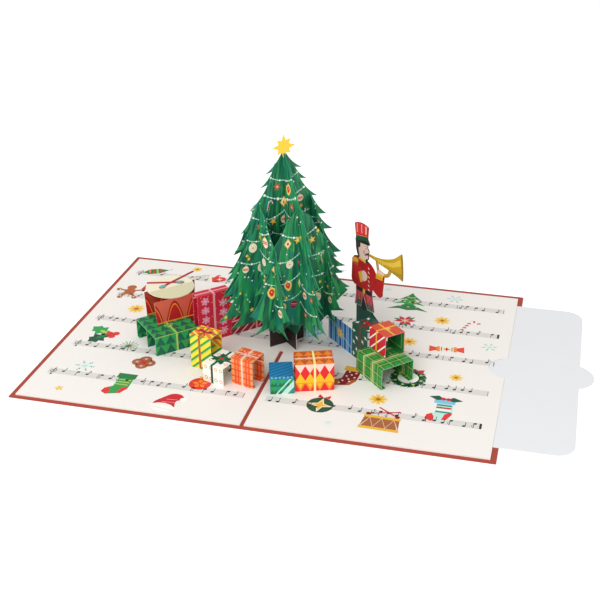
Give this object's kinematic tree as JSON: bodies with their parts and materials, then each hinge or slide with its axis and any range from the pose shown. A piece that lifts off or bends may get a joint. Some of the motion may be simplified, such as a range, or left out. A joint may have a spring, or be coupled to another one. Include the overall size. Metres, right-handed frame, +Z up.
{
  "type": "pop up greeting card",
  "caption": "Holiday pop up card lying open flat: slotted paper fir tree, folded paper gifts, toy soldier and drum on a printed page, with a pull out note card.",
  "frame": {"origin": "middle of the fold, on the underside of the cover", "axes": "+X along the open card to the right leaf, +Y to the rear edge, +Z up from the surface it lies on"},
  "size_m": [0.298, 0.1778, 0.1248],
  "materials": {
    "red_card": "printed card, matt, cream liner inside",
    "cream_paper": "uncoated cream paper with a printed pattern",
    "white_card": "uncoated white card",
    "tree_card": "printed card, painterly greens",
    "gold_card": "printed gold yellow card",
    "crimson_card": "printed card, pink slanting stripes",
    "red_gift_card": "printed card, white pattern",
    "light_green_card": "printed card, triangles",
    "drum_card": "printed card, scalloped arches",
    "drum_skin_card": "printed cream card",
    "stick_card": "printed card, dark red sticks with teal heads",
    "blue_card": "printed card, dark and pale stripes",
    "dark_green_card": "printed card, white stars",
    "plaid_green_card": "printed card, green checks",
    "pale_blue_card": "printed card, pale triangles",
    "yellow_card": "printed card, green stripes",
    "pastel_card": "printed card, pastel rings",
    "orange_card": "printed card, checks",
    "teal_card": "printed card, stripes",
    "diamond_card": "printed card, diamonds",
    "soldier_card": "printed card, toy soldier"
  },
  "bodies": {
    "card": {"blue_gift": "blue_card", "corner_gift": "pale_blue_card", "cover": "red_card", "crimson_gift": "crimson_card", "diamond_gift": "diamond_card", "drum_front_wall": "drum_card", "drum_head": "drum_skin_card", "drum_rear_wall": "drum_card", "drumsticks": "stick_card", "orange_gift": "orange_card", "page": "cream_paper", "plaid_gift": "plaid_green_card", "red_striped_gift": "red_gift_card", "snowflake_gift": "red_gift_card", "soldier": "soldier_card", "starry_gift": "dark_green_card", "teal_gift": "teal_card", "tree_cross_front": "tree_card", "tree_cross_middle": "tree_card", "tree_cross_rear": "tree_card", "tree_slice_front": "tree_card", "tree_slice_middle": "tree_card", "tree_slice_rear": "tree_card", "tree_star": "gold_card", "triangle_gift": "light_green_card", "triangle_gift_rib": "light_green_card", "white_gift": "pastel_card", "yellow_gift": "yellow_card"},
    "note": {"note_card": "white_card"}
  },
  "joints": [
    {"name": "note_slide", "type": "slide", "parent": "card", "child": "note", "axis": [1, 0, 0], "range_m": [-0.044, 0.045]}
  ]
}
